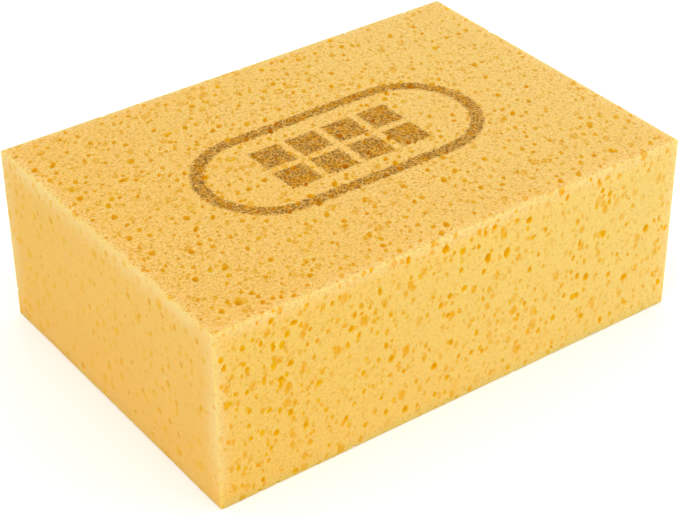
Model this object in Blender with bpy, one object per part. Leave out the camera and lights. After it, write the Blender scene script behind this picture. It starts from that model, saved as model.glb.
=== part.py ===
# Grout sponge: one block of open-cell foam, cut from a slab, with a plain stamp printed on its top.
# Metres, +Z up. The origin is the middle of the underside, X runs along the block and Z up through it.

import math
import random
from collections import namedtuple

import bmesh
import bpy
from mathutils import Vector
from mathutils.geometry import delaunay_2d_cdt

# The block, as cut
LENGTH = 0.190
WIDTH = 0.133
HEIGHT = 0.068
EDGE_RADIUS = 0.0008
EDGE_SEGMENTS = 2

# Large pores are rounded bowls and small ones plain pits. A radius is half the width of the mouth.
LARGE_PORE_COUNT = 108
LARGE_PORE_LEAST = 0.0013
LARGE_PORE_MOST = 0.0018
LARGE_PORE_CORNERS = 8
SMALL_PORE_COUNT = 520
SMALL_PORE_LEAST = 0.0008
SMALL_PORE_MOST = 0.0012
SMALL_PORE_CORNERS = 6
PORE_GAP = 0.0006  # foam left between two pores, or between a mouth and the rounded edge
PORE_DEPTH = 0.95  # depth over the mouth's radius
BOWL_SHARE = 0.80  # how much of its mouth's size a bowl keeps
BOWL_DROP = 0.62  # at this share of its depth
RISE = 1.30  # upright sides show their cells taller than wide, the way the foam rose
UNEVEN = 0.15  # how far a mouth on the top or underside may be from round
RAGGED = 0.13  # how far a mouth's corners stray, as a share of its radius
PLACE_TRIES = 40  # throws at a free spot before a pore is left out
SEED = 7

# The short ends were sliced finer, so their pores are fewer and shallower, and the foam thins out along X.
END_COUNT_SHARE = 0.40
END_DEPTH_SHARE = 0.70
FAR_THINNING = 0.5  # how much rarer pores are at the far short end than at the near one

# The underside keeps a flat spot in its middle, clear of pores.
REST_SPOT_RADIUS = 0.004

# The stamp, flush with the foam: a ring with straight sides and round ends, and tiles inside it
STAMP_LENGTH = 0.112
STAMP_WIDTH = 0.052
STAMP_LINE = 0.0046
STAMP_ARC_SEGMENTS = 12
TILE_SIDE = 0.0120
TILE_GAP = 0.0032
TILE_COLUMNS = 4
TILE_ROWS = 2

FOAM_COLOUR = (0.89, 0.54, 0.12, 1.0)
INK_COLOUR = (0.42, 0.21, 0.05, 1.0)
MATT = 0.95
FOAM, INK = 0, 1

# The pores that catch the eye on the long front side: x, z, half the width and half the height
FRONT_PORES = (
    (-0.0742, 0.0642, 0.0012, 0.0015), (-0.0658, 0.0602, 0.0016, 0.0013),
    (-0.0780, 0.0575, 0.0010, 0.0016), (-0.0913, 0.0543, 0.0012, 0.0016),
    (-0.0833, 0.0500, 0.0010, 0.0015), (-0.0673, 0.0455, 0.0014, 0.0014),
    (-0.0712, 0.0410, 0.0015, 0.0015), (-0.0772, 0.0435, 0.0009, 0.0015),
    (-0.0878, 0.0430, 0.0010, 0.0013), (-0.0570, 0.0330, 0.0013, 0.0015),
    (-0.0678, 0.0263, 0.0013, 0.0016), (-0.0733, 0.0209, 0.0013, 0.0016),
    (-0.0755, 0.0159, 0.0009, 0.0014), (-0.0620, 0.0185, 0.0013, 0.0017),
    (-0.0880, 0.0138, 0.0010, 0.0014), (-0.0808, 0.0115, 0.0009, 0.0012),
    (-0.0790, 0.0044, 0.0011, 0.0014), (-0.0870, 0.0063, 0.0008, 0.0011),
    (-0.0438, 0.0485, 0.0014, 0.0015), (-0.0400, 0.0527, 0.0008, 0.0009),
    (-0.0512, 0.0613, 0.0010, 0.0012), (-0.0305, 0.0360, 0.0010, 0.0013),
    (-0.0283, 0.0297, 0.0014, 0.0018), (-0.0392, 0.0288, 0.0011, 0.0014),
    (-0.0289, 0.0233, 0.0010, 0.0010), (-0.0230, 0.0222, 0.0011, 0.0012),
    (-0.0392, 0.0213, 0.0009, 0.0013), (-0.0303, 0.0088, 0.0011, 0.0015),
    (-0.0222, 0.0063, 0.0015, 0.0019), (-0.0217, 0.0646, 0.0010, 0.0012),
    (-0.0067, 0.0634, 0.0017, 0.0020), (0.0008, 0.0600, 0.0010, 0.0015),
    (0.0000, 0.0527, 0.0011, 0.0015), (-0.0083, 0.0422, 0.0013, 0.0016),
    (-0.0053, 0.0368, 0.0010, 0.0013), (-0.0142, 0.0285, 0.0009, 0.0014),
    (-0.0105, 0.0185, 0.0015, 0.0019), (-0.0178, 0.0158, 0.0009, 0.0012),
    (0.0113, 0.0530, 0.0015, 0.0024), (0.0192, 0.0518, 0.0015, 0.0022),
    (0.0283, 0.0610, 0.0016, 0.0017), (0.0183, 0.0590, 0.0009, 0.0013),
    (0.0097, 0.0372, 0.0009, 0.0013), (0.0055, 0.0172, 0.0011, 0.0013),
    (0.0167, 0.0250, 0.0009, 0.0010), (0.0333, 0.0455, 0.0009, 0.0011),
    (0.0417, 0.0032, 0.0009, 0.0010), (0.0492, 0.0375, 0.0010, 0.0016),
    (0.0558, 0.0272, 0.0016, 0.0019), (0.0608, 0.0602, 0.0012, 0.0012),
    (0.0617, 0.0430, 0.0010, 0.0013), (0.0830, 0.0367, 0.0016, 0.0018),
    (0.0817, 0.0605, 0.0009, 0.0009), (0.0500, 0.0520, 0.0009, 0.0016),
)
# The same on the near short end: y, z, half the width and half the height
NEAR_END_PORES = (
    (-0.0302, 0.0597, 0.0014, 0.0016), (-0.0473, 0.0455, 0.0012, 0.0017),
    (-0.0213, 0.0193, 0.0011, 0.0016), (0.0107, 0.0347, 0.0010, 0.0014),
    (-0.0152, 0.0067, 0.0009, 0.0012), (-0.0577, 0.0355, 0.0013, 0.0018),
    (-0.0528, 0.0413, 0.0009, 0.0011), (0.0057, 0.0467, 0.0009, 0.0013),
    (-0.0427, 0.0150, 0.0010, 0.0014), (-0.0427, 0.0075, 0.0010, 0.0012),
)
# The same on the top: x, y, half the width and half the depth
TOP_PORES = (
    (-0.0850, 0.0070, 0.0015, 0.0016), (-0.0712, 0.0248, 0.0015, 0.0011),
    (-0.0700, 0.0378, 0.0013, 0.0010), (-0.0587, 0.0443, 0.0014, 0.0012),
    (-0.0722, 0.0457, 0.0012, 0.0010), (-0.0263, 0.0532, 0.0016, 0.0015),
    (-0.0262, 0.0357, 0.0015, 0.0013), (-0.0025, 0.0435, 0.0012, 0.0010),
    (0.0055, 0.0448, 0.0011, 0.0009), (0.0275, 0.0432, 0.0014, 0.0012),
    (0.0383, 0.0478, 0.0010, 0.0011), (0.0517, 0.0152, 0.0015, 0.0012),
    (0.0658, -0.0055, 0.0014, 0.0016), (-0.0875, -0.0068, 0.0013, 0.0017),
    (-0.0915, 0.0215, 0.0010, 0.0012), (-0.0850, 0.0257, 0.0011, 0.0011),
    (-0.0778, 0.0265, 0.0011, 0.0009), (-0.0267, -0.0205, 0.0020, 0.0015),
    (-0.0167, -0.0202, 0.0013, 0.0010), (-0.0097, -0.0168, 0.0012, 0.0013),
    (0.0070, -0.0165, 0.0012, 0.0012), (-0.0403, -0.0048, 0.0016, 0.0012),
    (0.0417, -0.0102, 0.0014, 0.0010), (0.0008, -0.0252, 0.0014, 0.0010),
    (-0.0712, -0.0227, 0.0014, 0.0012), (-0.0467, -0.0243, 0.0013, 0.0010),
    (-0.0800, -0.0327, 0.0011, 0.0011), (-0.0717, -0.0385, 0.0015, 0.0012),
    (-0.0583, -0.0435, 0.0014, 0.0012), (-0.0793, -0.0570, 0.0018, 0.0016),
    (-0.0858, -0.0577, 0.0014, 0.0013), (-0.0725, -0.0577, 0.0012, 0.0011),
    (-0.0883, -0.0485, 0.0010, 0.0012), (-0.0650, -0.0502, 0.0011, 0.0010),
    (-0.0533, -0.0577, 0.0015, 0.0013), (-0.0375, -0.0335, 0.0012, 0.0011),
    (-0.0283, -0.0418, 0.0012, 0.0010), (-0.0183, -0.0402, 0.0011, 0.0010),
    (-0.0158, -0.0485, 0.0011, 0.0010), (-0.0017, -0.0435, 0.0011, 0.0011),
    (0.0283, -0.0527, 0.0014, 0.0011), (0.0500, -0.0427, 0.0012, 0.0010),
    (0.0717, -0.0580, 0.0016, 0.0014), (0.0775, -0.0410, 0.0014, 0.0017),
    (0.0650, -0.0568, 0.0014, 0.0011), (0.0900, -0.0468, 0.0010, 0.0012),
    (0.0783, -0.0350, 0.0011, 0.0012), (0.0575, -0.0132, 0.0011, 0.0011),
    (0.0625, -0.0218, 0.0011, 0.0010), (0.0717, -0.0243, 0.0012, 0.0010),
)

Pore = namedtuple("Pore", "u v half_u half_v depth is_large")


# Scene and materials


def clear_scene():
    for old in list(bpy.data.objects):
        bpy.data.objects.remove(old, do_unlink=True)


def make_material(name, colour):
    material = bpy.data.materials.new(name)
    material.use_nodes = True
    shader = material.node_tree.nodes["Principled BSDF"]
    shader.inputs["Base Color"].default_value = colour
    shader.inputs["Roughness"].default_value = MATT
    shader.inputs["Metallic"].default_value = 0.0
    material.diffuse_color = colour
    return material


# The six flat sides, each with its own u and v axes, v running up where the side is upright


class Side:
    def __init__(self, u_axis, v_axis, is_end=False):
        half_size = Vector((LENGTH, WIDTH, HEIGHT)) / 2
        self.u_axis = Vector(u_axis)
        self.v_axis = Vector(v_axis)
        self.normal = self.u_axis.cross(self.v_axis)
        self.centre = Vector((0, 0, HEIGHT / 2)) + self.normal * abs(self.normal.dot(half_size))
        self.half_u = abs(self.u_axis.dot(half_size)) - EDGE_RADIUS
        self.half_v = abs(self.v_axis.dot(half_size)) - EDGE_RADIUS
        self.is_upright = self.v_axis.z != 0
        self.is_end = is_end
        self.pores = []

    def point(self, u, v):
        return self.centre + self.u_axis * u + self.v_axis * v

    def flat(self, point):
        offset = point - self.centre
        return Vector((offset.dot(self.u_axis), offset.dot(self.v_axis)))

    def pore_share(self):
        return self.half_u * self.half_v * (END_COUNT_SHARE if self.is_end else 1.0)


def make_sides():
    return {
        "top": Side((1, 0, 0), (0, 1, 0)),
        "underside": Side((1, 0, 0), (0, -1, 0)),
        "front": Side((1, 0, 0), (0, 0, 1)),
        "back": Side((-1, 0, 0), (0, 0, 1)),
        "near_end": Side((0, -1, 0), (0, 0, 1), is_end=True),
        "far_end": Side((0, 1, 0), (0, 0, 1), is_end=True),
    }


# Where the pores open. Each takes up a ball round its mouth, and no two balls meet, also round an edge.


def try_pore(side, taken, u, v, half_u, half_v):
    depth = half_u * PORE_DEPTH * (END_DEPTH_SHARE if side.is_end else 1.0)
    reach = max(half_u, half_v) * (1 + RAGGED)
    ball = max(reach, depth)
    if abs(u) + reach + PORE_GAP > side.half_u or abs(v) + reach + PORE_GAP > side.half_v:
        return False
    centre = side.point(u, v)
    if any((centre - other).length < ball + other_ball + PORE_GAP for other, other_ball in taken):
        return False
    taken.append((centre, ball))
    side.pores.append(Pore(u, v, half_u, half_v, depth, half_u >= LARGE_PORE_LEAST))
    return True


def scatter_pores(side, taken, count, least, most, rng):
    for _ in range(count):
        half_u = rng.uniform(least, most)
        half_v = half_u * (RISE if side.is_upright else rng.uniform(1 - UNEVEN, 1 + UNEVEN))
        for _ in range(PLACE_TRIES):
            u = rng.uniform(-side.half_u, side.half_u)
            v = rng.uniform(-side.half_v, side.half_v)
            how_far = side.point(u, v).x / LENGTH + 0.5
            if rng.random() > FAR_THINNING * how_far and try_pore(side, taken, u, v, half_u, half_v):
                break


def place_pores(sides, rng):
    taken = [(sides["underside"].centre, REST_SPOT_RADIUS)]
    for x, z, half_width, half_height in FRONT_PORES:
        try_pore(sides["front"], taken, x, z - HEIGHT / 2, half_width, half_height)
    for y, z, half_width, half_height in NEAR_END_PORES:
        try_pore(sides["near_end"], taken, -y, z - HEIGHT / 2, half_width, half_height)
    for x, y, half_width, half_depth in TOP_PORES:
        try_pore(sides["top"], taken, x, y, half_width, half_depth)
    whole = sum(side.pore_share() for side in sides.values())
    for count, least, most in (
        (LARGE_PORE_COUNT, LARGE_PORE_LEAST, LARGE_PORE_MOST),
        (SMALL_PORE_COUNT, SMALL_PORE_LEAST, SMALL_PORE_MOST),
    ):
        for side in sides.values():
            chosen = sum(least <= pore.half_u <= most for pore in side.pores)
            scatter_pores(side, taken, round(count * side.pore_share() / whole) - chosen, least, most, rng)


# Outlines drawn on a side, as lists of (u, v)


def mouth_outline(pore, rng):
    corners = LARGE_PORE_CORNERS if pore.is_large else SMALL_PORE_CORNERS
    turn = rng.uniform(0, math.tau)
    outline = []
    for i in range(corners):
        angle = turn + math.tau * i / corners
        stray = 1 + rng.uniform(-RAGGED, RAGGED)
        du = pore.half_u * stray * math.cos(angle)
        dv = pore.half_v * stray * math.sin(angle)
        outline.append(Vector((pore.u + du, pore.v + dv)))
    return outline


def ring_outline(length, width):
    radius = width / 2
    run = length / 2 - radius
    outline = []
    for end, start in ((1, -math.pi / 2), (-1, math.pi / 2)):
        for i in range(STAMP_ARC_SEGMENTS + 1):
            angle = start + math.pi * i / STAMP_ARC_SEGMENTS
            outline.append(Vector((end * run + radius * math.cos(angle), radius * math.sin(angle))))
    return outline


def tile_outline(column, row):
    step = TILE_SIDE + TILE_GAP
    middle = Vector((column - (TILE_COLUMNS - 1) / 2, row - (TILE_ROWS - 1) / 2)) * step
    corners = ((-1, -1), (1, -1), (1, 1), (-1, 1))
    return [middle + Vector(corner) * TILE_SIDE / 2 for corner in corners]


def stamp_outlines():
    # Ink lies where a point is inside an odd number of these.
    outlines = [ring_outline(STAMP_LENGTH, STAMP_WIDTH)]
    outlines.append(ring_outline(STAMP_LENGTH - 2 * STAMP_LINE, STAMP_WIDTH - 2 * STAMP_LINE))
    for column in range(TILE_COLUMNS):
        outlines += [tile_outline(column, row) for row in range(TILE_ROWS)]
    return outlines


# The foam's surface


def rounded_block():
    bm = bmesh.new()
    bmesh.ops.create_cube(bm, size=1.0)
    bmesh.ops.scale(bm, verts=bm.verts, vec=(LENGTH, WIDTH, HEIGHT))
    bmesh.ops.translate(bm, verts=bm.verts, vec=(0, 0, HEIGHT / 2))
    bmesh.ops.bevel(
        bm,
        geom=bm.edges[:],
        offset=EDGE_RADIUS,
        offset_type="OFFSET",
        segments=EDGE_SEGMENTS,
        profile=0.5,
        affect="EDGES",
    )
    return bm


def flat_face(bm, side):
    return max(bm.faces, key=lambda face: face.calc_area() if face.normal.dot(side.normal) > 0.999 else 0)


def draw_on_side(bm, side, outlines):
    # The side's one face gives way to triangles that follow the outlines, and each outline gets its own.
    plain = flat_face(bm, side)
    border = list(plain.verts)
    for edge in plain.edges:
        edge.smooth = False
    points = [side.flat(vert.co) for vert in border]
    rings = [list(range(len(points)))]
    for outline in outlines:
        rings.append(list(range(len(points), len(points) + len(outline))))
        points += outline
    spots, _, triangles, spot_sources, _, face_sources = delaunay_2d_cdt(points, [], rings, 1, 1e-7)
    verts = []
    for spot, sources in zip(spots, spot_sources):
        corner = next((i for i in sources if i < len(border)), None)
        verts.append(bm.verts.new(side.point(*spot)) if corner is None else border[corner])
    bmesh.ops.delete(bm, geom=[plain], context="FACES_ONLY")
    inside = [[] for _ in rings]
    for triangle, sources in zip(triangles, face_sources):
        face = bm.faces.new([verts[i] for i in triangle])
        face.normal_update()
        if face.normal.dot(side.normal) < 0:
            face.normal_flip()
        for ring in sources:
            inside[ring].append(face)
    return inside[1:]


def sink_pore(bm, side, faces, pore):
    # A mouth's faces become one, which steps down to the bowl's ring, if any, and ends in a point.
    mouth = faces[0]
    if len(faces) > 1:
        mouth = bmesh.ops.dissolve_faces(bm, faces=faces)["region"][0]
    mouth.material_index = FOAM
    for edge in mouth.edges:
        edge.smooth = False
    dropped = 0.0
    if pore.is_large:
        centre = mouth.calc_center_median()
        mouth = bmesh.ops.extrude_discrete_faces(bm, faces=[mouth])["faces"][0]
        dropped = pore.depth * BOWL_DROP
        for vert in mouth.verts:
            vert.co = centre + (vert.co - centre) * BOWL_SHARE - side.normal * dropped
    mouth.normal_update()
    bmesh.ops.poke(bm, faces=[mouth], offset=dropped - pore.depth)


def carve_side(bm, side, stamp, rng):
    mouths = [mouth_outline(pore, rng) for pore in side.pores]
    inside = draw_on_side(bm, side, mouths + stamp)
    for faces in inside[len(mouths) :]:
        for face in faces:
            face.material_index = FOAM if face.material_index == INK else INK
    for faces, pore in zip(inside, side.pores):
        sink_pore(bm, side, faces, pore)


def make_sponge():
    rng = random.Random(SEED)
    sides = make_sides()
    place_pores(sides, rng)
    bm = rounded_block()
    for name, side in sides.items():
        carve_side(bm, side, stamp_outlines() if name == "top" else [], rng)
    for face in bm.faces:
        face.smooth = True
    mesh = bpy.data.meshes.new("sponge_block")
    bm.to_mesh(mesh)
    bm.free()
    mesh.materials.append(make_material("foam", FOAM_COLOUR))
    mesh.materials.append(make_material("stamp_ink", INK_COLOUR))
    block = bpy.data.objects.new("sponge_block", mesh)
    bpy.context.scene.collection.objects.link(block)


clear_scene()
make_sponge()
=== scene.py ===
import math

import bmesh
import bpy
from mathutils import Matrix, Vector


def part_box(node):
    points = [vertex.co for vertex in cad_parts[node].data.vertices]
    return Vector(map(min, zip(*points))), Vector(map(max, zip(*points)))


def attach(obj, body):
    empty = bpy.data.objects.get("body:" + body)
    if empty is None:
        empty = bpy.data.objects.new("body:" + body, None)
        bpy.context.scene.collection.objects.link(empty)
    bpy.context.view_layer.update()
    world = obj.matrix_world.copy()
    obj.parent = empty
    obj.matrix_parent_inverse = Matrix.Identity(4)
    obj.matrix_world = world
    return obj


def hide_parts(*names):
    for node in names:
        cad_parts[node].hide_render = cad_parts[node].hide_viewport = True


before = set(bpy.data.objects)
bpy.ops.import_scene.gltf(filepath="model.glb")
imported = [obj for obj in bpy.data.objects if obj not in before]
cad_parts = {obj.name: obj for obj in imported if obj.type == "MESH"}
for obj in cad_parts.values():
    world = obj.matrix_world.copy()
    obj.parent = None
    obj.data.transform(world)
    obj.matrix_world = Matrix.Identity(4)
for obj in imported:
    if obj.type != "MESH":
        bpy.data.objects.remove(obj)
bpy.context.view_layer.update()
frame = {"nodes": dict(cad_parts)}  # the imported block, in metres, resting on z = 0
print("frame loaded:", ", ".join(frame["nodes"]))


# Short ways to build node trees

# sockets gives a node's inputs by name or number, each as a value or as the socket that feeds it
def addNode(tree, kind, sockets=None, **options):
    node = tree.nodes.new(kind)
    for option, value in options.items():
        setattr(node, option, value)
    for name, value in (sockets or {}).items():
        if isinstance(value, bpy.types.NodeSocket):
            tree.links.new(value, node.inputs[name])
        else:
            node.inputs[name].default_value = value
    return node


def maths(tree, operation, *values):
    return addNode(tree, "ShaderNodeMath", dict(enumerate(values)), operation=operation).outputs[0]


def vectors(tree, operation, *values):
    return addNode(tree, "ShaderNodeVectorMath", dict(enumerate(values)), operation=operation).outputs[0]


def scaled(tree, vector, factor):
    node = addNode(tree, "ShaderNodeVectorMath", {0: vector, "Scale": factor}, operation="SCALE")
    return node.outputs[0]


def lengthOf(tree, vector):
    return addNode(tree, "ShaderNodeVectorMath", {0: vector}, operation="LENGTH").outputs["Value"]


def parts(tree, vector):
    return addNode(tree, "ShaderNodeSeparateXYZ", {0: vector}).outputs


def combined(tree, x, y, z):
    return addNode(tree, "ShaderNodeCombineXYZ", {0: x, 1: y, 2: z}).outputs[0]


# noise with so many bumps per metre, as one value, "Fac", or as three, "Color"
def noise(tree, where, scale, detail, roughness=0.5):
    sockets = {"Vector": where, "Scale": scale, "Detail": detail, "Roughness": roughness}
    return addNode(tree, "ShaderNodeTexNoise", sockets).outputs


def blendColour(tree, amount, first, second, how="MIX"):
    sockets = {0: amount, 6: first, 7: second}
    return addNode(tree, "ShaderNodeMix", sockets, data_type="RGBA", blend_type=how).outputs[2]


# turns the range from low to high into start to end, and goes no further than those
def ramp(tree, value, low, high, start=0.0, end=1.0, how="SMOOTHSTEP"):
    sockets = {"Value": value, "From Min": low, "From Max": high, "To Min": start, "To Max": end}
    return addNode(tree, "ShaderNodeMapRange", sockets, interpolation_type=how).outputs[0]


# each input and output is given as name: (kind of socket, value)
def newTree(name, kind, inputs, outputs):
    tree = bpy.data.node_groups.new(name, kind)
    for direction, sockets in (("INPUT", inputs), ("OUTPUT", outputs)):
        for label, (socketKind, value) in sockets.items():
            socketKind = "NodeSocket" + socketKind
            socket = tree.interface.new_socket(label, in_out=direction, socket_type=socketKind)
            if value is not None:
                socket.default_value = value
    return tree, tree.nodes.new("NodeGroupInput").outputs, tree.nodes.new("NodeGroupOutput").inputs


# The foam block

spongeBlock = {
    "edgeRadius": 0.0005,  # the knife's edges, hardly rounded
    "edgeSegments": 2,
    "gridStep": 0.006,  # faces of the plain block, before the pores
    "waveHeight": 0.00035,  # how far the cut faces wander
    "waveSize": 0.030,
    "creaseAngle": 42.0,  # degrees; a rim sharper than this stays an edge
    "lens": 0.5,  # how far over the surface a pore's ball has its centre, as a share of its depth
    "ragged": 0.6,  # how far a pore strays from a smooth oval, as a share of its radius
    "raggedScale": 0.9,  # bumps for each radius
    "ballShapes": 6,
    "tiltLeast": (-0.2, -0.11, -0.2),  # radians; the cells lean a little along the block, each differently
    "tiltMost": (0.2, 0.24, 0.2),
    "fineSpacing": 0.0037,
    "fineCrowding": 1.4,  # pores tried for each square of that spacing
    "fineLeast": 0.0007,
    "fineMost": 0.0015,
    "fineBias": 1.6,  # over 1, most of them are small
    "fineLift": (0.35, 0.85),  # how far over the surface their balls' centres are, in radii
    "unevenLeast": (0.8, 0.8, 0.85),  # and how much their shapes vary
    "unevenMost": (1.2, 1.2, 1.15),
    "largePore": 0.0036,  # from this size on, a pore of the solid gets a ball with finer faces
    "largeDetail": 3,
    "smallDetail": 2,
    "rise": 1.35,  # cells stand taller than wide
    "drawnAngle": 0.62,  # on the flat faces they lie longer one way, so many radians off the y axis
    "drawnAside": 0.90,
    "drawnAlong": 1.30,
    "endShare": 0.25,  # the short ends were sliced finer
    "farShare": 0.65,  # and the foam is finer at the far end
    "patchScale": 30.0,  # pores come in patches, so many per metre
    "patchRange": (0.3, 0.6),  # the noise's values from outside a patch to inside it
    "patchShare": 0.45,  # how many pores are left outside, against inside
    "seed": 7,
}


# the block without pores, its faces cut into a grid, so that they can wander
def plainBlock(low, high, settings):
    bm = bmesh.new()
    bmesh.ops.create_cube(bm, size=1.0)
    bmesh.ops.scale(bm, verts=bm.verts, vec=high - low)
    bmesh.ops.translate(bm, verts=bm.verts, vec=(low + high) / 2)
    bmesh.ops.bevel(bm, geom=bm.edges[:], offset=settings["edgeRadius"], offset_type="OFFSET",
                    segments=settings["edgeSegments"], profile=0.5, affect="EDGES")
    for axis in range(3):
        steps = round((high[axis] - low[axis]) / settings["gridStep"])
        normal = Vector([float(i == axis) for i in range(3)])
        for step in range(1, steps):
            place = low + normal * ((high[axis] - low[axis]) * step / steps)
            everything = bm.verts[:] + bm.edges[:] + bm.faces[:]
            bmesh.ops.bisect_plane(bm, geom=everything, plane_co=place, plane_no=normal)
    mesh = bpy.data.meshes.new("spongeBlock")
    bm.to_mesh(mesh)
    bm.free()
    return mesh


# the points inside one pore of the solid and the points of its mouth, starting from one inside it
def onePore(start, isInside, seen):
    inside, mouth, todo = [], set(), [start]
    seen.add(start)
    while todo:
        here = todo.pop()
        inside.append(here)
        for edge in here.link_edges:
            other = edge.other_vert(here)
            if not isInside(other):
                mouth.add(other)
            elif other not in seen:
                seen.add(other)
                todo.append(other)
    return inside, mouth


# a value for each point of a mesh, filled in at once, since adding another attribute would move this one
def addValues(mesh, name, kind, field, values):
    data = mesh.attributes.new(name, kind, "POINT").data
    for i, value in enumerate(values):
        setattr(data[i], field, value)


# the solid's own pores, each as a point with the half sizes and the turn of the ball that cuts it
def solidPores(node, low, high, settings):
    leastDepth, mostSpan, skin, weldGap = 0.0003, 0.01, 0.00001, 0.000001
    lens = settings["lens"]
    bm = bmesh.new()
    bm.from_mesh(node.data)
    bmesh.ops.remove_doubles(bm, verts=bm.verts, dist=weldGap)
    middle, half = (low + high) / 2, (high - low) / 2

    def depths(vert):
        return [half[i] - abs(vert.co[i] - middle[i]) for i in range(3)]

    def isInside(vert):
        return min(depths(vert)) >= skin

    seen, places, sizes, turns = set(), [], [], []
    for vert in bm.verts:
        if vert in seen or not isInside(vert):
            continue
        side = min(range(3), key=lambda i: depths(vert)[i])
        inside, mouth = onePore(vert, isInside, seen)
        deepest = max(depths(v)[side] for v in inside)
        if len(mouth) < 3 or deepest < leastDepth:
            continue
        spans = [(min(v.co[i] for v in mouth), max(v.co[i] for v in mouth)) for i in range(3)]
        if max(b - a for a, b in spans) > mostSpan:  # the block's own rounded edges
            continue
        place = [(a + b) / 2 for a, b in spans]
        place[side] += math.copysign(deepest * lens, place[side] - middle[side])
        spread = 1 / math.sqrt(1 - (lens / (1 + lens)) ** 2)
        size = [(b - a) / 2 * spread for a, b in spans]
        size[side] = deepest * (1 + lens)
        if side == 2:  # drawn out as the fine ones are, but no wider in all
            stretch = math.sqrt(settings["drawnAlong"] / settings["drawnAside"])
            size[0] /= stretch
            size[1] *= stretch
        places.append(place)
        sizes.append(size)
        turns.append(-settings["drawnAngle"] if side == 2 else 0.0)
    bm.free()
    mesh = bpy.data.meshes.new("solidPores")
    mesh.from_pydata(places, [], [])
    addValues(mesh, "poreSize", "FLOAT_VECTOR", "vector", sizes)
    addValues(mesh, "poreTurn", "FLOAT", "value", turns)
    print("pores read from the solid:", len(places))
    return bpy.data.objects.new("solidPores", mesh)


def randomValue(tree, low, high, seed, kind="FLOAT"):
    first = {"FLOAT": 2, "FLOAT_VECTOR": 0, "INT": 4}[kind]
    sockets = {first: low, first + 1: high, "Seed": seed}
    node = addNode(tree, "FunctionNodeRandomValue", sockets, data_type=kind)
    return node.outputs[{"FLOAT": 1, "FLOAT_VECTOR": 0, "INT": 2}[kind]]


# a few balls of radius 1 that are a little out of round, to be picked from
def raggedBalls(tree, detail, ragged, seed, settings):
    apart = (7.3, 3.1)  # each ball takes its bumps from another part of the noise
    picks = addNode(tree, "GeometryNodeJoinGeometry")
    ball = addNode(tree, "GeometryNodeMeshIcoSphere", {"Radius": 1.0, "Subdivisions": detail})
    where = addNode(tree, "GeometryNodeInputPosition").outputs[0]
    for i in range(settings["ballShapes"]):
        shifted = vectors(tree, "ADD", where, (seed + apart[0] * i, apart[1] * i, 0.0))
        strayed = noise(tree, shifted, settings["raggedScale"], 1.0)["Color"]
        strayed = vectors(tree, "SUBTRACT", strayed, (0.5, 0.5, 0.5))
        moved = addNode(tree, "GeometryNodeSetPosition",
                        {"Geometry": ball.outputs["Mesh"], "Offset": scaled(tree, strayed, ragged)})
        single = addNode(tree, "GeometryNodeGeometryToInstance", {0: moved.outputs[0]})
        tree.links.new(single.outputs[0], picks.inputs[0])
    return picks.outputs[0]


# one ball, picked at random, on each point
def placeBalls(tree, points, balls, scale, turn, seed, settings, selection=True):
    tilt = randomValue(tree, settings["tiltLeast"], settings["tiltMost"], seed + 5, "FLOAT_VECTOR")
    pick = randomValue(tree, 0, settings["ballShapes"] - 1, seed + 6, "INT")
    rotation = vectors(tree, "ADD", tilt, combined(tree, 0.0, 0.0, turn))
    node = addNode(tree, "GeometryNodeInstanceOnPoints",
                   {"Points": points, "Selection": selection, "Instance": balls, "Pick Instance": True,
                    "Instance Index": pick, "Rotation": rotation, "Scale": scale})
    return node.outputs[0]


# the block with its faces wandering a little
def wavyBlock(tree, given, where):
    wave = noise(tree, where, maths(tree, "DIVIDE", 1.0, given["Wave Size"]), 2.0)["Color"]
    offset = scaled(tree, vectors(tree, "SUBTRACT", wave, (0.5, 0.5, 0.5)), given["Wave Height"])
    block = addNode(tree, "GeometryNodeSetPosition", {"Geometry": given["Block"], "Offset": offset})
    return addNode(tree, "GeometryNodeTriangulate", {"Mesh": block.outputs[0]}).outputs[0]


# 1 where a normal is within about 45 degrees of the axis
def isFacing(tree, normal, axis):
    leastShare = 0.7
    return maths(tree, "GREATER_THAN", maths(tree, "ABSOLUTE", parts(tree, normal)[axis]), leastShare)


# how close the pores lie: thin on the short ends, denser towards the near end, in patches
def poreShare(tree, given, where, settings):
    onEnd = isFacing(tree, addNode(tree, "GeometryNodeInputNormal").outputs[0], "X")
    share = ramp(tree, onEnd, 0.0, 1.0, 1.0, given["End Share"], "LINEAR")
    along = maths(tree, "DIVIDE", parts(tree, where)["X"], given["Half Length"])
    share = maths(tree, "MULTIPLY", share, ramp(tree, along, -1.0, 1.0, 1.0, given["Far Share"], "LINEAR"))
    patches = noise(tree, where, settings["patchScale"], 1.0)["Fac"]
    low, high = settings["patchRange"]
    patches = ramp(tree, patches, low, high, settings["patchShare"], 1.0, "LINEAR")
    return maths(tree, "MULTIPLY", share, patches)


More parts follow.
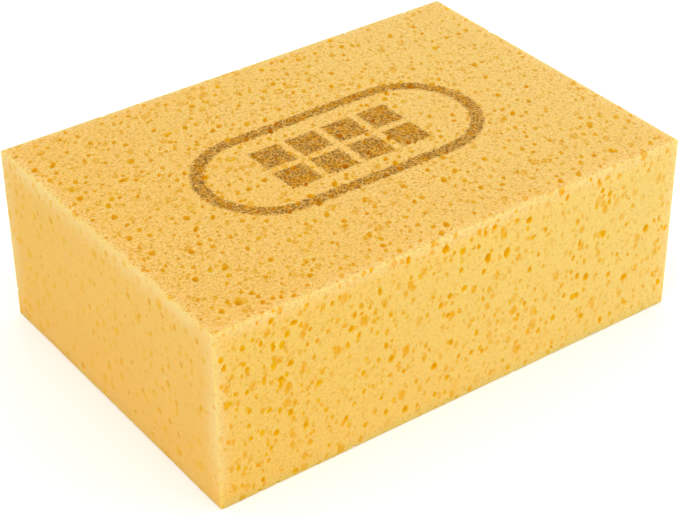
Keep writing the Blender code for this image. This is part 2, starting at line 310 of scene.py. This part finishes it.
# the finer pores, most of them shallow
def finePores(tree, given, where, block, settings):
    seed, spacing = settings["seed"], given["Fine Spacing"]
    density = maths(tree, "DIVIDE", settings["fineCrowding"], maths(tree, "MULTIPLY", spacing, spacing))
    share = poreShare(tree, given, where, settings)
    points = addNode(tree, "GeometryNodeDistributePointsOnFaces", {
        "Mesh": block, "Distance Min": spacing, "Density Max": density,
        "Density Factor": share, "Seed": seed,
    }, distribute_method="POISSON")
    lot = maths(tree, "POWER", randomValue(tree, 0.0, 1.0, seed + 1), settings["fineBias"])
    radius = ramp(tree, lot, 0.0, 1.0, given["Fine Least"], given["Fine Most"], "LINEAR")
    lift = maths(tree, "MULTIPLY", radius, randomValue(tree, *settings["fineLift"], seed + 2))
    normal = points.outputs["Normal"]
    raised = addNode(tree, "GeometryNodeSetPosition", {
        "Geometry": points.outputs["Points"], "Offset": scaled(tree, normal, lift),
    }).outputs[0]
    onFlat = isFacing(tree, normal, "Z")
    aside = ramp(tree, onFlat, 0.0, 1.0, 1.0, given["Drawn Aside"], "LINEAR")
    along = ramp(tree, onFlat, 0.0, 1.0, 1.0, given["Drawn Along"], "LINEAR")
    turn = maths(tree, "MULTIPLY", onFlat, maths(tree, "MULTIPLY", given["Drawn Angle"], -1.0))
    uneven = randomValue(tree, settings["unevenLeast"], settings["unevenMost"], seed + 3, "FLOAT_VECTOR")
    shape = vectors(tree, "MULTIPLY", combined(tree, aside, along, given["Rise"]), uneven)
    balls = raggedBalls(tree, settings["smallDetail"], given["Ragged"], seed, settings)
    return placeBalls(tree, raised, balls, scaled(tree, shape, radius), turn, seed, settings)


def namedValue(tree, name, kind):
    return addNode(tree, "GeometryNodeInputNamedAttribute", {"Name": name}, data_type=kind).outputs[0]


# the balls for the solid's own pores, the large ones with finer faces
def ownPores(tree, given, settings):
    known = addNode(tree, "GeometryNodeObjectInfo", {"Object": given["Solid Pores"]}).outputs["Geometry"]
    size = namedValue(tree, "poreSize", "FLOAT_VECTOR")
    turn = namedValue(tree, "poreTurn", "FLOAT")
    isLarge = maths(tree, "GREATER_THAN", lengthOf(tree, size), settings["largePore"])
    isSmall = maths(tree, "SUBTRACT", 1.0, isLarge)
    groups = ((settings["largeDetail"], isLarge, 90), (settings["smallDetail"], isSmall, 120))
    cutters = []
    for detail, selection, seedShift in groups:
        seed = settings["seed"] + seedShift
        balls = raggedBalls(tree, detail, given["Ragged"], seed, settings)
        cutters.append(placeBalls(tree, known, balls, size, turn, seed, settings, selection))
    return cutters


# the Geometry Nodes tree that cuts every pore out of the block
def poreTree(settings):
    tree, given, result = newTree("cutPores", "GeometryNodeTree", {
        "Block": ("Geometry", None),
        "Solid Pores": ("Object", None),
        "Ragged": ("Float", 0.2),
        "Wave Height": ("Float", 0.0003),
        "Wave Size": ("Float", 0.03),
        "Fine Spacing": ("Float", 0.005),
        "Fine Least": ("Float", 0.0005),
        "Fine Most": ("Float", 0.001),
        "Rise": ("Float", 1.35),
        "Drawn Angle": ("Float", 0.6),
        "Drawn Aside": ("Float", 0.9),
        "Drawn Along": ("Float", 1.3),
        "End Share": ("Float", 0.3),
        "Far Share": ("Float", 0.7),
        "Half Length": ("Float", 0.1),
        "Foam": ("Material", None),
    }, {"Block": ("Geometry", None)})
    where = addNode(tree, "GeometryNodeInputPosition").outputs[0]
    block = wavyBlock(tree, given, where)
    cut = addNode(tree, "GeometryNodeMeshBoolean", {"Mesh 1": block},
                  operation="DIFFERENCE", solver="MANIFOLD")
    for cutter in [finePores(tree, given, where, block, settings)] + ownPores(tree, given, settings):
        tree.links.new(cutter, cut.inputs["Mesh 2"])
    real = addNode(tree, "GeometryNodeTriangulate", {"Mesh": cut.outputs["Mesh"]})
    real = addNode(tree, "GeometryNodeRealizeInstances", {0: real.outputs[0]})
    sockets = {"Geometry": real.outputs[0], "Material": given["Foam"]}
    tree.links.new(addNode(tree, "GeometryNodeSetMaterial", sockets).outputs[0], result["Block"])
    return tree


def makeSponge(settings, material):
    low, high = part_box("sponge_block")
    block = bpy.data.objects.new("spongeBlock", plainBlock(low, high, settings))
    pores = solidPores(frame["nodes"]["sponge_block"], low, high, settings)
    for item in (block, pores):
        bpy.context.scene.collection.objects.link(item)
    tree = poreTree(settings)
    modifier = block.modifiers.new("cutPores", "NODES")
    modifier.node_group = tree
    values = {
        "Solid Pores": pores, "Ragged": settings["ragged"], "Foam": material,
        "Wave Height": settings["waveHeight"], "Wave Size": settings["waveSize"],
        "Fine Spacing": settings["fineSpacing"],
        "Fine Least": settings["fineLeast"], "Fine Most": settings["fineMost"],
        "Rise": settings["rise"], "Drawn Angle": settings["drawnAngle"],
        "Drawn Aside": settings["drawnAside"], "Drawn Along": settings["drawnAlong"],
        "End Share": settings["endShare"], "Far Share": settings["farShare"], "Half Length": high.x,
    }
    for item in tree.interface.items_tree:
        if item.in_out == "INPUT" and item.name in values:
            modifier[item.identifier] = values[item.name]
    evaluated = block.evaluated_get(bpy.context.evaluated_depsgraph_get())
    mesh = bpy.data.meshes.new_from_object(evaluated)
    block.modifiers.remove(modifier)
    block.data = mesh
    bpy.data.objects.remove(pores)
    mesh.shade_smooth()
    mesh.set_sharp_from_angle(angle=math.radians(settings["creaseAngle"]))
    mesh.calc_loop_triangles()
    print("sponge block cut:", len(mesh.loop_triangles), "triangles")
    return block


# The foam's surface

foamLooks = {
    # the foam's colour on the long sides; the flat faces and the ends get darker copies of it, painted
    # shade
    "surface": (0.998, 0.627, 0.160, 1.0),
    "flatShadedSurface": (0.985, 0.555, 0.132, 1.0),
    "endShadedSurface": (0.970, 0.525, 0.120, 1.0),
    # painted cavity shade: the deeper orange that the pores' walls take on from light inside them, darker
    # on the flat faces and paler on the ends
    "pore": (0.950, 0.555, 0.006, 1.0),
    "flatPoreShade": (0.862, 0.497, 0.014, 1.0),
    "endPoreShade": (0.955, 0.585, 0.035, 1.0),
    "firstDepth": 0.00001,  # a pore's painted cavity shade starts here
    "fullDepth": {"side": 0.00052, "end": 0.00110, "flat": 0.00052},  # and is full down to here
    "cutEdge": 0.0007,  # the block's rounded edges, which are surface too
    # painted pore shade, for pores that are not cut
    "faintPore": (0.900, 0.430, 0.004, 1.0),
    "flatFaintPore": (0.845, 0.395, 0.007, 1.0),
    "faintShare": {"side": 1.22, "end": 0.56, "flat": 1.55},
    "faintFarShare": 0.60,  # fewer show at the far end
    "faintSpacings": (0.0042, 0.0027),
    "faintLeast": 0.15,  # a faint pore's radius, as a share of the spacing
    "faintMost": 0.52,
    "lean": 0.08,  # of the faint pores, along the block
    "paleGrain": (1.000, 0.700, 0.320, 1.0),
    "darkGrain": (0.600, 0.290, 0.030, 1.0),
    "grainShare": {"side": 0.45, "end": 0.15, "flat": 1.00},
    "grainAmounts": {"Coarse": 0.75, "Fine": 1.0},
    "paleRange": (0.50, 0.80),  # the grain's values from foam to a pale speck
    "darkRange": (0.50, 0.20),  # and to a dark one
    "grainSize": 0.00045,
    "grainBump": 0.25,
    "grainHeight": 0.0004,
    "paintedEdgeGlow": (0.920, 0.685, 0.285, 1.0),  # painted glow, for the light that thin foam at an edge lets through
    "glowWidth": {"side": 0.0060, "end": 0.0098, "flat": 0.0045},
    "glowShare": {"side": 0.85, "end": 0.70, "flat": 0.60},
    "cloudScale": 60.0,  # the painted glow is stronger in some places than in others, so many per metre
    "cloudRange": (0.3, 0.6),  # the noise's values from the weaker glow to the strongest
    "cloudShare": 0.65,  # how strong the weaker glow is, against the strongest
    "glowFoot": 0.02,  # and it fades towards the floor, over this height
    "footShare": 0.1,  # to this share
    "nearLightTint": (1.000, 0.940, 0.750, 1.0),  # painted light, paler from the near end to the far one
    "farLightTint": (1.012, 1.060, 1.140, 1.0),
    "lowShadeTint": (1.000, 0.985, 0.960, 1.0),  # and painted shade towards the underside, painted light towards the top
    "endLowShadeTint": (0.990, 0.955, 0.880, 1.0),
    "highLightTint": (1.000, 1.025, 1.040, 1.0),
    "roughness": 0.9,
    "specular": 0.05,
    "subsurface": 1.0,
    "subsurfaceRadius": (1.0, 0.75, 0.35),
    "subsurfaceDepth": 0.004,  # how far light wanders in the foam
}
stamp = {
    "sizes": {
        "Length": 0.112,
        "Width": 0.052,
        "Line": 0.0046,
        "Tile Side": 0.0120,
        "Tile Gap": 0.0032,
        "Columns": 4.0,
        "Rows": 2.0,
        "Bleed": 0.0011,  # how far the ink fades out past its edge
        "Wander Scale": 350.0,  # waves along its edge, so many per metre
    },
    "greyInk": (0.190, 0.080, 0.010, 1.0),
    "paleGreyInk": (0.790, 0.420, 0.084, 1.0),
    "warmInk": (0.300, 0.108, 0.002, 1.0),
    "paleWarmInk": (0.780, 0.350, 0.018, 1.0),
    "inkedPore": (0.640, 0.255, 0.003, 1.0),
    "speckScale": 1300.0,  # so many per metre
    "speckRoughness": 0.75,
    "speckRange": (0.39, 0.61),  # the noise's values from dark to pale ink
    "blotchScale": 330.0,
    "blotchRange": (0.45, 0.63),  # and from grey to warm ink
    "strength": 0.97,
    "rimDepths": (0.0010, 0.0003),  # ink ends so far down a pore's rim, and is full so far down
    "wallDepths": (0.0050, 0.0040),  # the same for the tint that it gives the pore's walls
}


# where a point lies on the block: how deep under its sides, how far from an edge, and on which side
def placesTree():
    tree, given, result = newTree("blockPlaces", "ShaderNodeTree", {
        "Middle": ("Vector", None),
        "Half Size": ("Vector", None),
        "Edge Radius": ("Float", 0.001),
    }, {
        "Depth": ("Float", None),
        "Edge": ("Float", None),
        "On End": ("Float", None),
        "On Flat": ("Float", None),
    })
    where = addNode(tree, "ShaderNodeTexCoord").outputs["Object"]
    radius, blur = given["Edge Radius"], 0.001  # one side's looks turn into the next one's over the blur
    fromMiddle = vectors(tree, "ABSOLUTE", vectors(tree, "SUBTRACT", where, given["Middle"]))
    left = vectors(tree, "SUBTRACT", given["Half Size"], fromMiddle)
    x, y, z = parts(tree, left)
    leastXy, mostXy = maths(tree, "MINIMUM", x, y), maths(tree, "MAXIMUM", x, y)
    onEnd = maths(tree, "SUBTRACT", maths(tree, "MINIMUM", y, z), x)
    onFlat = maths(tree, "SUBTRACT", leastXy, z)
    rounding = combined(tree, radius, radius, radius)
    beyond = vectors(tree, "MAXIMUM", vectors(tree, "SUBTRACT", rounding, left), (0.0, 0.0, 0.0))
    beyond = lengthOf(tree, beyond)
    within = maths(tree, "SUBTRACT", maths(tree, "MINIMUM", leastXy, z), radius)
    depth = maths(tree, "ADD", maths(tree, "SUBTRACT", radius, beyond),
                  maths(tree, "MAXIMUM", within, 0.0))
    tree.links.new(depth, result["Depth"])
    tree.links.new(maths(tree, "MAXIMUM", leastXy, maths(tree, "MINIMUM", mostXy, z)), result["Edge"])
    tree.links.new(ramp(tree, onEnd, -blur, blur), result["On End"])
    tree.links.new(ramp(tree, onFlat, -blur, blur), result["On Flat"])
    return tree


# how far a point lies off the stamp's ring, less than 0 on it
def offRing(tree, given, x, y):
    radius = maths(tree, "DIVIDE", given["Width"], 2.0)
    run = maths(tree, "SUBTRACT", maths(tree, "DIVIDE", given["Length"], 2.0), radius)
    past = maths(tree, "MAXIMUM", maths(tree, "SUBTRACT", maths(tree, "ABSOLUTE", x), run), 0.0)
    reach = lengthOf(tree, combined(tree, past, y, 0.0))
    halfLine = maths(tree, "DIVIDE", given["Line"], 2.0)
    offMiddle = maths(tree, "ADD", maths(tree, "SUBTRACT", reach, radius), halfLine)
    return maths(tree, "SUBTRACT", maths(tree, "ABSOLUTE", offMiddle), halfLine)


# how far it lies off the nearest tile along one axis, less than 0 on it
def offTiles(tree, given, value, count):
    step = maths(tree, "ADD", given["Tile Side"], given["Tile Gap"])
    halfRun = maths(tree, "MULTIPLY", maths(tree, "DIVIDE", count, 2.0), step)
    inStep = maths(tree, "FLOORED_MODULO", maths(tree, "ADD", value, halfRun), step)
    fromCentre = maths(tree, "SUBTRACT", inStep, maths(tree, "DIVIDE", step, 2.0))
    fromCentre = maths(tree, "ABSOLUTE", fromCentre)
    offTile = maths(tree, "SUBTRACT", fromCentre, maths(tree, "DIVIDE", given["Tile Side"], 2.0))
    inRun = maths(tree, "SUBTRACT", halfRun, maths(tree, "DIVIDE", given["Tile Gap"], 2.0))
    return maths(tree, "MAXIMUM", offTile, maths(tree, "SUBTRACT", maths(tree, "ABSOLUTE", value), inRun))


# where the stamp's ink lies: 1 on its ring and tiles, 0 off them, fading out in specks
def inkTree():
    speckReach, fade = 3.0, 0.6  # in bleeds
    tree, given, result = newTree("stampInk", "ShaderNodeTree", {
        "Length": ("Float", 0.1),
        "Width": ("Float", 0.05),
        "Line": ("Float", 0.005),
        "Tile Side": ("Float", 0.01),
        "Tile Gap": ("Float", 0.003),
        "Columns": ("Float", 4.0),
        "Rows": ("Float", 2.0),
        "Bleed": ("Float", 0.0005),
        "Wander Scale": ("Float", 350.0),
        "Specks": ("Float", 0.5),
    }, {"Ink": ("Float", None)})
    where = addNode(tree, "ShaderNodeTexCoord").outputs["Object"]
    wander = noise(tree, where, given["Wander Scale"], 2.0)["Color"]
    wander = scaled(tree, vectors(tree, "SUBTRACT", wander, (0.5, 0.5, 0.5)), given["Bleed"])
    place = parts(tree, vectors(tree, "ADD", where, wander))
    x, y = place["X"], place["Y"]
    byColumn = offTiles(tree, given, x, given["Columns"])
    byRow = offTiles(tree, given, y, given["Rows"])
    off = maths(tree, "MINIMUM", offRing(tree, given, x, y), maths(tree, "MAXIMUM", byColumn, byRow))
    off = maths(tree, "DIVIDE", off, given["Bleed"])
    specks = maths(tree, "MULTIPLY", maths(tree, "SUBTRACT", given["Specks"], 0.5), speckReach)
    off = maths(tree, "ADD", off, specks)
    tree.links.new(ramp(tree, off, -fade, fade, 1.0, 0.0), result["Ink"])
    return tree


# the place on the block, squeezed so that round spots there stand tall, lean and lie longer one way
def cellPlace(tree, given):
    where = addNode(tree, "ShaderNodeTexCoord").outputs["Object"]
    turned = addNode(tree, "ShaderNodeVectorRotate", {"Vector": where, "Angle": given["Drawn Angle"]},
                     rotation_type="Z_AXIS").outputs[0]
    aside, along, up = parts(tree, turned)
    aside = maths(tree, "SUBTRACT", aside, maths(tree, "MULTIPLY", up, given["Lean"]))
    shape = combined(tree, given["Drawn Aside"], given["Drawn Along"], given["Rise"])
    return vectors(tree, "DIVIDE", combined(tree, aside, along, up), shape)


# painted pore shade, round spots where no pore is cut: 1 in their middles, 0 between them
def paintedPoreShadeTree():
    tree, given, result = newTree("faintPores", "ShaderNodeTree", {
        "Spacing": ("Float", 0.003),
        "Least": ("Float", 0.1),
        "Most": ("Float", 0.4),
        "Rise": ("Float", 1.3),
        "Lean": ("Float", 0.2),
        "Drawn Angle": ("Float", 0.6),
        "Drawn Aside": ("Float", 0.9),
        "Drawn Along": ("Float", 1.3),
    }, {"Faintness": ("Float", None)})
    strayScale, stray = 700.0, 0.0013  # they aren't quite round
    bias, core, weakest, strongest = 1.3, 0.45, 0.25, 1.3
    where = cellPlace(tree, given)
    strayed = scaled(tree, noise(tree, where, strayScale, 1.0)["Color"], stray)
    cells = addNode(tree, "ShaderNodeTexVoronoi", {
        "Vector": vectors(tree, "ADD", where, strayed),
        "Scale": maths(tree, "DIVIDE", 1.0, given["Spacing"]),
    }).outputs
    lots = parts(tree, cells["Color"])
    sizeLot = maths(tree, "POWER", lots["X"], bias)
    radius = ramp(tree, sizeLot, 0.0, 1.0, given["Least"], given["Most"], "LINEAR")
    spot = ramp(tree, cells["Distance"], maths(tree, "MULTIPLY", radius, core), radius, 1.0, 0.0)
    strength = ramp(tree, lots["Y"], 0.0, 1.0, weakest, strongest, "LINEAR")
    tree.links.new(maths(tree, "MULTIPLY", spot, strength), result["Faintness"])
    return tree


# the foam's own fine grain, about 0.5 on the whole, in specks of two sizes
def grainTree():
    sizes, detail, roughness = {"Fine": 1.0, "Coarse": 2.6}, 1.0, 0.6
    tree, given, result = newTree("foamGrain", "ShaderNodeTree", {
        "Size": ("Float", 0.0004),
    }, {"Fine": ("Float", None), "Coarse": ("Float", None)})
    where = addNode(tree, "ShaderNodeTexCoord").outputs["Object"]
    for name, times in sizes.items():
        scale = maths(tree, "DIVIDE", 1.0, maths(tree, "MULTIPLY", given["Size"], times))
        tree.links.new(noise(tree, where, scale, detail, roughness)["Fac"], result[name])
    return tree


# a value that differs between the long sides, the short ends and the flat faces (top and underside)
def bySide(tree, spot, values):
    onEnd = maths(tree, "MULTIPLY", spot["onEnd"], values["end"] - values["side"])
    onFlat = maths(tree, "MULTIPLY", spot["onFlat"], values["flat"] - values["side"])
    return maths(tree, "ADD", maths(tree, "ADD", onEnd, onFlat), values["side"])


# what the other steps ask about the point that is being coloured
def spotOn(tree, looks, low, high):
    where = addNode(tree, "ShaderNodeTexCoord").outputs["Object"]
    place = parts(tree, where)
    sockets = {"Middle": (low + high) / 2, "Half Size": (high - low) / 2, "Edge Radius": looks["cutEdge"]}
    places = addNode(tree, "ShaderNodeGroup", sockets, node_tree=placesTree()).outputs
    return {
        "where": where, "height": place["Z"], "depth": places["Depth"], "edge": places["Edge"],
        "onEnd": places["On End"], "onFlat": places["On Flat"],
        "farness": ramp(tree, place["X"], low.x, high.x, how="LINEAR"),
        "rise": ramp(tree, place["Z"], low.z, high.z, how="LINEAR"),
    }


# the cut foam, paler towards the far end and the top and palest along its edges, all painted light; its
# flat faces and ends take painted shade
def surfaceColour(tree, spot, looks, low):
    # painted shade: darker copies of the foam's colour on the flat faces and, below, on the ends
    colour = blendColour(tree, spot["onFlat"], looks["surface"], looks["flatShadedSurface"])
    # painted light, paler towards the far end
    tint = blendColour(tree, spot["farness"], looks["nearLightTint"], looks["farLightTint"])
    colour = blendColour(tree, 1.0, colour, tint, "MULTIPLY")
    colour = blendColour(tree, spot["onEnd"], colour, looks["endShadedSurface"])
    # painted shade towards the underside and painted light towards the top, the ends darker at the foot
    lowShadeTint = blendColour(tree, spot["onEnd"], looks["lowShadeTint"], looks["endLowShadeTint"])
    tint = blendColour(tree, spot["rise"], lowShadeTint, looks["highLightTint"])
    colour = blendColour(tree, 1.0, colour, tint, "MULTIPLY")
    # painted edge glow, stronger in patches and weaker near the floor
    clouds = noise(tree, spot["where"], looks["cloudScale"], 2.0)["Fac"]
    glow = ramp(tree, spot["edge"], 0.0, bySide(tree, spot, looks["glowWidth"]), 1.0, 0.0)
    glow = maths(tree, "MULTIPLY", glow, bySide(tree, spot, looks["glowShare"]))
    clouds = ramp(tree, clouds, *looks["cloudRange"], looks["cloudShare"], 1.0, "LINEAR")
    glow = maths(tree, "MULTIPLY", glow, clouds)
    fromFloor = ramp(tree, spot["height"], low.z, low.z + looks["glowFoot"], looks["footShare"], 1.0)
    glow = maths(tree, "MULTIPLY", glow, fromFloor)
    return blendColour(tree, glow, colour, looks["paintedEdgeGlow"])


# a layer of painted pore shade for each spacing
def addPaintedPoreShade(tree, spot, looks, cells, colour):
    faintPoreShadeColour = blendColour(tree, spot["onFlat"], looks["faintPore"], looks["flatFaintPore"])
    farShare = ramp(tree, spot["farness"], 0.0, 1.0, 1.0, looks["faintFarShare"], "LINEAR")
    share = maths(tree, "MULTIPLY", bySide(tree, spot, looks["faintShare"]), farShare)
    faintPores = paintedPoreShadeTree()
    for spacing in looks["faintSpacings"]:
        group = addNode(tree, "ShaderNodeGroup", {
            "Spacing": spacing, "Least": looks["faintLeast"], "Most": looks["faintMost"],
            "Rise": cells["rise"], "Lean": looks["lean"], "Drawn Angle": cells["drawnAngle"],
            "Drawn Aside": cells["drawnAside"], "Drawn Along": cells["drawnAlong"],
        }, node_tree=faintPores)
        colour = blendColour(tree, maths(tree, "MULTIPLY", group.outputs[0], share), colour, faintPoreShadeColour)
    return colour


# pale and dark specks, coarse ones and then fine ones
def addGrain(tree, spot, looks, grain, colour):
    share = bySide(tree, spot, looks["grainShare"])
    for name, amount in looks["grainAmounts"].items():
        pale = maths(tree, "MULTIPLY", ramp(tree, grain[name], *looks["paleRange"]), amount)
        dark = maths(tree, "MULTIPLY", ramp(tree, grain[name], *looks["darkRange"]), amount)
        colour = blendColour(tree, maths(tree, "MULTIPLY", pale, share), colour, looks["paleGrain"])
        colour = blendColour(tree, maths(tree, "MULTIPLY", dark, share), colour, looks["darkGrain"])
    return colour


# the ink lies on the top's surface and hardly reaches into the pores
def addStamp(tree, spot, ink, top, colour, poreShadeColour):
    height = spot["height"]
    specks = noise(tree, spot["where"], ink["speckScale"], 3.0, ink["speckRoughness"])["Fac"]
    blotches = noise(tree, spot["where"], ink["blotchScale"], 2.0)["Fac"]
    sockets = {"Specks": specks, **ink["sizes"]}
    inked = addNode(tree, "ShaderNodeGroup", sockets, node_tree=inkTree()).outputs[0]
    onWalls = ramp(tree, height, *[top - depth for depth in ink["wallDepths"]])
    onWalls = maths(tree, "MULTIPLY", inked, onWalls)
    poreShadeColour = blendColour(tree, onWalls, poreShadeColour, ink["inkedPore"])
    onTop = ramp(tree, height, *[top - depth for depth in ink["rimDepths"]])
    onTop = maths(tree, "MULTIPLY", maths(tree, "MULTIPLY", inked, onTop), ink["strength"])
    warmth = ramp(tree, blotches, *ink["blotchRange"])
    darkInk = blendColour(tree, warmth, ink["greyInk"], ink["warmInk"])
    paleInk = blendColour(tree, warmth, ink["paleGreyInk"], ink["paleWarmInk"])
    inkColour = blendColour(tree, ramp(tree, specks, *ink["speckRange"]), darkInk, paleInk)
    return blendColour(tree, onTop, colour, inkColour), poreShadeColour


# cells is the block's own dictionary, so that the painted pores have the cut ones' shape
def foamMaterial(looks, ink, cells):
    low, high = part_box("sponge_block")
    material = bpy.data.materials.new("spongeFoam")
    material.use_nodes = True
    tree = material.node_tree
    spot = spotOn(tree, looks, low, high)
    grain = addNode(tree, "ShaderNodeGroup", {"Size": looks["grainSize"]}, node_tree=grainTree()).outputs

    colour = surfaceColour(tree, spot, looks, low)
    colour = addPaintedPoreShade(tree, spot, looks, cells, colour)
    colour = addGrain(tree, spot, looks, grain, colour)
    # painted cavity shade in the pores, deeper with depth
    poreShadeColour = blendColour(tree, spot["onFlat"], looks["pore"], looks["flatPoreShade"])
    poreShadeColour = blendColour(tree, spot["onEnd"], poreShadeColour, looks["endPoreShade"])
    colour, poreShadeColour = addStamp(tree, spot, ink, high.z, colour, poreShadeColour)
    deep = ramp(tree, spot["depth"], looks["firstDepth"], bySide(tree, spot, looks["fullDepth"]))
    colour = blendColour(tree, deep, colour, poreShadeColour)

    shader = tree.nodes["Principled BSDF"]
    tree.links.new(colour, shader.inputs["Base Color"])
    bump = addNode(tree, "ShaderNodeBump", {
        "Height": grain["Coarse"], "Strength": looks["grainBump"], "Distance": looks["grainHeight"],
    })
    tree.links.new(bump.outputs[0], shader.inputs["Normal"])
    shader.inputs["Roughness"].default_value = looks["roughness"]
    shader.inputs["Specular IOR Level"].default_value = looks["specular"]
    shader.inputs["Subsurface Weight"].default_value = looks["subsurface"]
    shader.inputs["Subsurface Radius"].default_value = looks["subsurfaceRadius"]
    shader.inputs["Subsurface Scale"].default_value = looks["subsurfaceDepth"]
    print("foam material made:", len(tree.nodes), "nodes")
    return material


foam = foamMaterial(foamLooks, stamp, spongeBlock)
block = makeSponge(spongeBlock, foam)
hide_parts("sponge_block")
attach(block, "root")


# Floor, light and camera

studio = {
    "floorSize": 3.0,
    "floorDrop": 0.0001,
    "floorColour": (0.93, 0.93, 0.93, 1.0),
    "floorGlow": (0.25, 0.25, 0.25, 1.0),  # lifts the floor to white where it is seen, and lights nothing
    "skyStrength": 0.78,
    "lampAim": (0.0, 0.0, 0.03),
    "lamps": {
        "topLamp": {"place": (-0.2, -0.3, 1.2), "size": 0.9, "power": 1.9},
        "rightLamp": {"place": (0.9, -0.9, 0.5), "size": 0.8, "power": 2.8},
        "leftLamp": {"place": (-1.1, -0.5, 0.5), "size": 0.8, "power": 1.7},
        "backLamp": {"place": (0.6, 1.1, 0.5), "size": 0.8, "power": 1.6},
    },
    "cameraAim": (-0.00376, -0.00430, 0.02556),
    "cameraDistance": 0.68091,
    "azimuth": -35.67,
    "elevation": 33.99,
    "roll": -0.57,
    "lens": 102.76,
    "sensor": 36.0,
    "clipStart": 0.01,
}


# 1 for rays that show the background: straight ones, and those off gloss or through glass
def backgroundRay(tree):
    path = addNode(tree, "ShaderNodeLightPath").outputs
    seen = maths(tree, "MAXIMUM", path["Is Camera Ray"], path["Is Glossy Ray"])
    return maths(tree, "MAXIMUM", seen, path["Is Transmission Ray"])


def makeFloor(settings):
    half = settings["floorSize"] / 2
    drop = settings["floorDrop"]
    corners = [(-half, -half, -drop), (half, -half, -drop), (half, half, -drop), (-half, half, -drop)]
    mesh = bpy.data.meshes.new("floor")
    mesh.from_pydata(corners, [], [(0, 1, 2, 3)])
    floor = bpy.data.objects.new("floor", mesh)
    bpy.context.scene.collection.objects.link(floor)
    material = bpy.data.materials.new("floor")
    material.use_nodes = True
    tree = material.node_tree
    shader = tree.nodes["Principled BSDF"]
    shader.inputs["Base Color"].default_value = settings["floorColour"]
    shader.inputs["Roughness"].default_value = 1.0
    shader.inputs["Specular IOR Level"].default_value = 0.0
    shader.inputs["Emission Color"].default_value = settings["floorGlow"]
    tree.links.new(backgroundRay(tree), shader.inputs["Emission Strength"])
    mesh.materials.append(material)
    print("floor laid")


# pale where it lights the block, white where it is seen
def makeSky(settings):
    world = bpy.data.worlds.new("studio")
    bpy.context.scene.world = world
    world.use_nodes = True
    tree = world.node_tree
    background = tree.nodes["Background"]
    background.inputs["Color"].default_value = (1.0, 1.0, 1.0, 1.0)
    strength = ramp(tree, backgroundRay(tree), 0.0, 1.0, settings["skyStrength"], 1.0, "LINEAR")
    tree.links.new(strength, background.inputs["Strength"])


# a round lamp that faces the aim
def addLamp(name, place, aim, size, power):
    lamp = bpy.data.lights.new(name, "AREA")
    lamp.shape = "DISK"
    lamp.size = size
    lamp.energy = power
    item = bpy.data.objects.new(name, lamp)
    item.location = place
    item.rotation_euler = (Vector(place) - Vector(aim)).to_track_quat("Z", "Y").to_euler()
    bpy.context.scene.collection.objects.link(item)


def makeLight(settings):
    makeSky(settings)
    for name, lamp in settings["lamps"].items():
        addLamp(name, lamp["place"], settings["lampAim"], lamp["size"], lamp["power"])
    print("light set:", len(settings["lamps"]), "lamps and the sky")


def makeCamera(settings):
    data = bpy.data.cameras.new("camera")
    data.lens = settings["lens"]
    data.sensor_width = settings["sensor"]
    data.clip_start = settings["clipStart"]
    camera = bpy.data.objects.new("camera", data)
    bpy.context.scene.collection.objects.link(camera)
    azimuth, elevation = math.radians(settings["azimuth"]), math.radians(settings["elevation"])
    back = Vector((math.sin(azimuth) * math.cos(elevation), -math.cos(azimuth) * math.cos(elevation),
                   math.sin(elevation)))
    camera.location = Vector(settings["cameraAim"]) + back * settings["cameraDistance"]
    turn = back.to_track_quat("Z", "Y").to_matrix().to_4x4()
    camera.rotation_euler = (turn @ Matrix.Rotation(math.radians(settings["roll"]), 4, "Z")).to_euler()
    bpy.context.scene.camera = camera
    print("camera placed")


makeFloor(studio)
makeLight(studio)
makeCamera(studio)
bpy.context.scene.view_settings.view_transform = "Standard"
